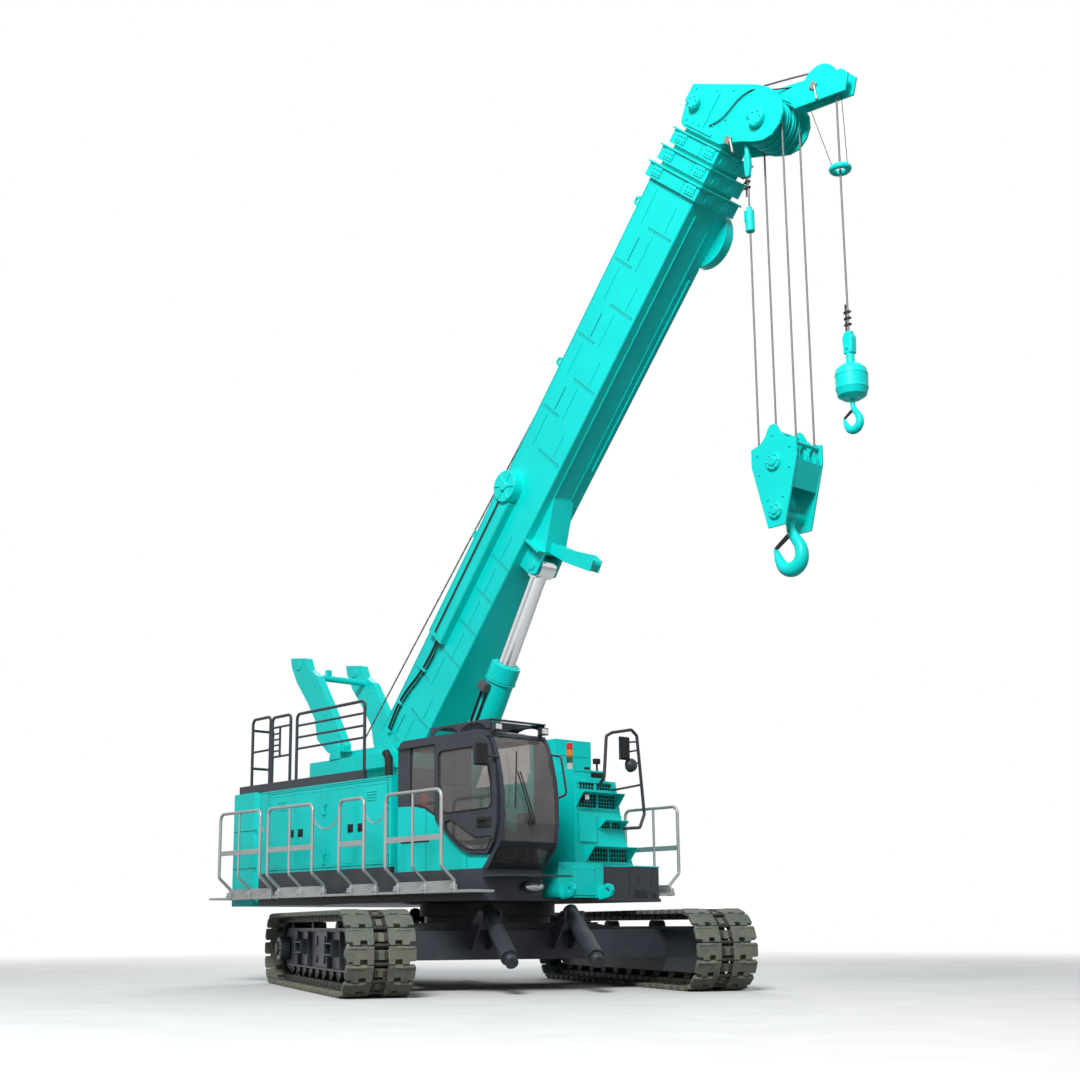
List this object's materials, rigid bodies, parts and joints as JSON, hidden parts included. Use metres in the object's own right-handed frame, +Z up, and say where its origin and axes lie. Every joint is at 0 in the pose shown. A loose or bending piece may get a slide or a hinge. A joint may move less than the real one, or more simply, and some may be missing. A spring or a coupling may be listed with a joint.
{
  "type": "crawler crane",
  "caption": "Telescopic crawler crane with two tracks, slewing upper works with a cab and machinery houses, a luffing box boom, and main and auxiliary hooks.",
  "frame": {"origin": "where the slewing axis meets the ground", "axes": "+Z up along the slewing axis, +X the way the boom points, +Y to the left of the cab"},
  "size_m": [10.0192, 6.509, 10.4716],
  "materials": {
    "turquoise_paint": "satin",
    "slate_paint": "satin",
    "track_steel": "worn",
    "wheel_steel": "greasy",
    "rail_steel": "galvanised",
    "rod_chrome": "polished",
    "rope_steel": "greased",
    "cab_glazing": "tinted",
    "seat_cloth": "woven",
    "engine_iron": "painted"
  },
  "bodies": {
    "undercarriage": {"car_body": "slate_paint", "slew_ring": "wheel_steel", "track_frame_left": "slate_paint", "track_frame_right": "slate_paint", "track_rollers_left": "wheel_steel", "track_rollers_right": "wheel_steel", "track_left": "track_steel", "track_right": "track_steel"},
    "drive_wheel_left": {"drive_wheel_left": "wheel_steel"},
    "drive_wheel_right": {"drive_wheel_right": "wheel_steel"},
    "idler_left": {"idler_left": "wheel_steel"},
    "idler_right": {"idler_right": "wheel_steel"},
    "jack_front_left": {"jack_front_left": "slate_paint"},
    "jack_front_right": {"jack_front_right": "slate_paint"},
    "jack_rear_left": {"jack_rear_left": "slate_paint"},
    "jack_rear_right": {"jack_rear_right": "slate_paint"},
    "upper": {"revolving_frame": "turquoise_paint", "deck": "slate_paint", "counterweight": "turquoise_paint", "engine_house": "turquoise_paint", "engine_block": "engine_iron", "left_house": "turquoise_paint", "battery_box": "slate_paint", "cab_shell": "slate_paint", "cab_fender": "turquoise_paint", "cab_glass": "cab_glazing", "cab_step": "slate_paint", "work_lamps": "slate_paint", "stack_light": "turquoise_paint", "front_rails": "slate_paint", "operator_seat": "seat_cloth", "roof_guard": "slate_paint", "walkways": "rail_steel", "roof_rails": "slate_paint"},
    "engine_door_1": {"engine_door_1": "turquoise_paint"},
    "engine_door_2": {"engine_door_2": "turquoise_paint"},
    "engine_door_3": {"engine_door_3": "turquoise_paint"},
    "engine_door_4": {"engine_door_4": "turquoise_paint"},
    "cab_door": {"cab_door": "slate_paint", "cab_door_glass": "cab_glazing"},
    "ballast_gantry": {"ballast_gantry": "turquoise_paint"},
    "main_drum": {"main_drum": "turquoise_paint"},
    "auxiliary_drum": {"auxiliary_drum": "turquoise_paint"},
    "boom_base": {"boom_base": "turquoise_paint"},
    "boom_section_2": {"boom_section_2": "turquoise_paint"},
    "boom_section_3": {"boom_section_3": "turquoise_paint"},
    "boom_head": {"boom_head": "turquoise_paint"},
    "head_sheaves": {"head_sheaves": "wheel_steel"},
    "tip_sheave": {"tip_sheave": "turquoise_paint"},
    "derrick_rod": {"derrick_rod": "rod_chrome"},
    "derrick_barrel": {"derrick_barrel": "turquoise_paint"},
    "main_falls": {"main_falls": "rope_steel"},
    "hook_block": {"hook_block": "turquoise_paint"},
    "main_hook": {"main_hook": "turquoise_paint"},
    "tip_fall": {"tip_fall": "rope_steel"},
    "overhaul_ball": {"overhaul_ball": "turquoise_paint"},
    "ball_hook": {"ball_hook": "turquoise_paint"}
  },
  "joints": [
    {"name": "slew", "type": "hinge", "parent": "undercarriage", "child": "upper", "pos_m": [0, 0, 1.03], "axis": [0, 0, 1], "continuous": true},
    {"name": "drive_left", "type": "hinge", "parent": "undercarriage", "child": "drive_wheel_left", "pos_m": [-1.29633, 2.72763, 0.465], "axis": [0.3843, 0.9232, 0], "continuous": true},
    {"name": "idle_left", "type": "hinge", "parent": "undercarriage", "child": "idler_left", "pos_m": [2.84888, 1.00214, 0.465], "axis": [0.3843, 0.9232, 0], "continuous": true},
    {"name": "drive_right", "type": "hinge", "parent": "undercarriage", "child": "drive_wheel_right", "pos_m": [-2.84888, -1.00214, 0.465], "axis": [0.3843, 0.9232, 0], "continuous": true},
    {"name": "idle_right", "type": "hinge", "parent": "undercarriage", "child": "idler_right", "pos_m": [1.29633, -2.72763, 0.465], "axis": [0.3843, 0.9232, 0], "continuous": true},
    {"name": "jack_swing_front_left", "type": "hinge", "parent": "undercarriage", "child": "jack_front_left", "pos_m": [1.78391, -0.19015, 0.86], "axis": [-0.3843, -0.9232, 0], "range_deg": [-20, 0]},
    {"name": "jack_swing_front_right", "type": "hinge", "parent": "undercarriage", "child": "jack_front_right", "pos_m": [1.39193, -1.13183, 0.86], "axis": [-0.3843, -0.9232, 0], "range_deg": [-20, 0]},
    {"name": "jack_swing_rear_left", "type": "hinge", "parent": "undercarriage", "child": "jack_rear_left", "pos_m": [-1.39193, 1.13183, 0.86], "axis": [0.3843, 0.9232, 0], "range_deg": [-20, 0]},
    {"name": "jack_swing_rear_right", "type": "hinge", "parent": "undercarriage", "child": "jack_rear_right", "pos_m": [-1.78391, 0.19015, 0.86], "axis": [0.3843, 0.9232, 0], "range_deg": [-20, 0]},
    {"name": "engine_door_1_hinge", "type": "hinge", "parent": "upper", "child": "engine_door_1", "pos_m": [-2.86, -1.516, 2], "axis": [0, 0, -1], "range_deg": [0, 36]},
    {"name": "engine_door_2_hinge", "type": "hinge", "parent": "upper", "child": "engine_door_2", "pos_m": [-1.502, -1.516, 2], "axis": [0, 0, 1], "range_deg": [0, 36]},
    {"name": "engine_door_3_hinge", "type": "hinge", "parent": "upper", "child": "engine_door_3", "pos_m": [-1.48, -1.516, 2], "axis": [0, 0, -1], "range_deg": [0, 36]},
    {"name": "engine_door_4_hinge", "type": "hinge", "parent": "upper", "child": "engine_door_4", "pos_m": [-0.122, -1.516, 2], "axis": [0, 0, 1], "range_deg": [0, 36]},
    {"name": "cab_door_slide", "type": "slide", "parent": "upper", "child": "cab_door", "axis": [-1, 0, 0], "range_m": [0, 0.7]},
    {"name": "gantry_fold", "type": "hinge", "parent": "upper", "child": "ballast_gantry", "pos_m": [-2.65, 0, 3.26], "axis": [0, -1, 0], "range_deg": [0, 35]},
    {"name": "main_drum_spin", "type": "hinge", "parent": "upper", "child": "main_drum", "pos_m": [-2.78, 0, 2.35], "axis": [0, 1, 0], "continuous": true},
    {"name": "auxiliary_drum_spin", "type": "hinge", "parent": "upper", "child": "auxiliary_drum", "pos_m": [-2.6, 0, 1.56], "axis": [0, 1, 0], "continuous": true},
    {"name": "luff", "type": "hinge", "parent": "upper", "child": "boom_base", "pos_m": [-1.9, 0, 3], "axis": [0, -1, 0], "range_deg": [-50.3, 33.2]},
    {"name": "telescope_1", "type": "slide", "parent": "boom_base", "child": "boom_section_2", "axis": [0.6587, 0, 0.7524], "range_m": [0, 6.4]},
    {"name": "telescope_2", "type": "slide", "parent": "boom_section_2", "child": "boom_section_3", "axis": [0.6587, 0, 0.7524], "range_m": [0, 6.4]},
    {"name": "telescope_3", "type": "slide", "parent": "boom_section_3", "child": "boom_head", "axis": [0.6587, 0, 0.7524], "range_m": [0, 6.4]},
    {"name": "head_sheave_spin", "type": "hinge", "parent": "boom_head", "child": "head_sheaves", "pos_m": [5.04066, 0, 9.59378], "axis": [0, 1, 0], "continuous": true},
    {"name": "tip_sheave_spin", "type": "hinge", "parent": "boom_head", "child": "tip_sheave", "pos_m": [5.70702, 0, 9.78261], "axis": [0, 1, 0], "continuous": true},
    {"name": "derrick_rod_swing", "type": "hinge", "parent": "boom_base", "child": "derrick_rod", "pos_m": [1.09919, 0, 5.23874], "axis": [0, -1, 0], "range_deg": [-2, 2]},
    {"name": "derrick_stroke", "type": "slide", "parent": "derrick_rod", "child": "derrick_barrel", "axis": [-0.5157, 0, -0.8568], "range_m": [-1.2, 0.8]},
    {"name": "main_falls_hang", "type": "hinge", "parent": "boom_head", "child": "main_falls", "pos_m": [5.04066, 0, 9.59378], "axis": [0, -1, 0], "range_deg": [-33.3, 50.4]},
    {"name": "main_hoist", "type": "slide", "parent": "main_falls", "child": "hook_block", "axis": [0, 0, -1], "range_m": [-3.1, 4.2], "deforming": ["main_falls"]},
    {"name": "main_hook_swivel", "type": "hinge", "parent": "hook_block", "child": "main_hook", "pos_m": [5.04066, 0, 4.8], "axis": [0, 0, 1], "continuous": true},
    {"name": "tip_fall_hang", "type": "hinge", "parent": "boom_head", "child": "tip_fall", "pos_m": [5.70702, 0, 9.78261], "axis": [0, -1, 0], "range_deg": [-33.3, 50.4]},
    {"name": "auxiliary_hoist", "type": "slide", "parent": "tip_fall", "child": "overhaul_ball", "axis": [0, 0, -1], "range_m": [-1.5, 5.4], "deforming": ["tip_fall"]},
    {"name": "ball_hook_swivel", "type": "hinge", "parent": "overhaul_ball", "child": "ball_hook", "pos_m": [5.91202, 0, 6], "axis": [0, 0, 1], "continuous": true}
  ],
  "couplings": [
    {"joint": "telescope_2", "follows": "telescope_1", "ratio": 1},
    {"joint": "telescope_3", "follows": "telescope_1", "ratio": 1},
    {"joint": "derrick_rod_swing", "follows": "luff", "ratio": -0.03},
    {"joint": "derrick_stroke", "follows": "luff", "m_per_rad": 1.32},
    {"joint": "main_falls_hang", "follows": "luff", "ratio": -1},
    {"joint": "tip_fall_hang", "follows": "luff", "ratio": -1}
  ]
}
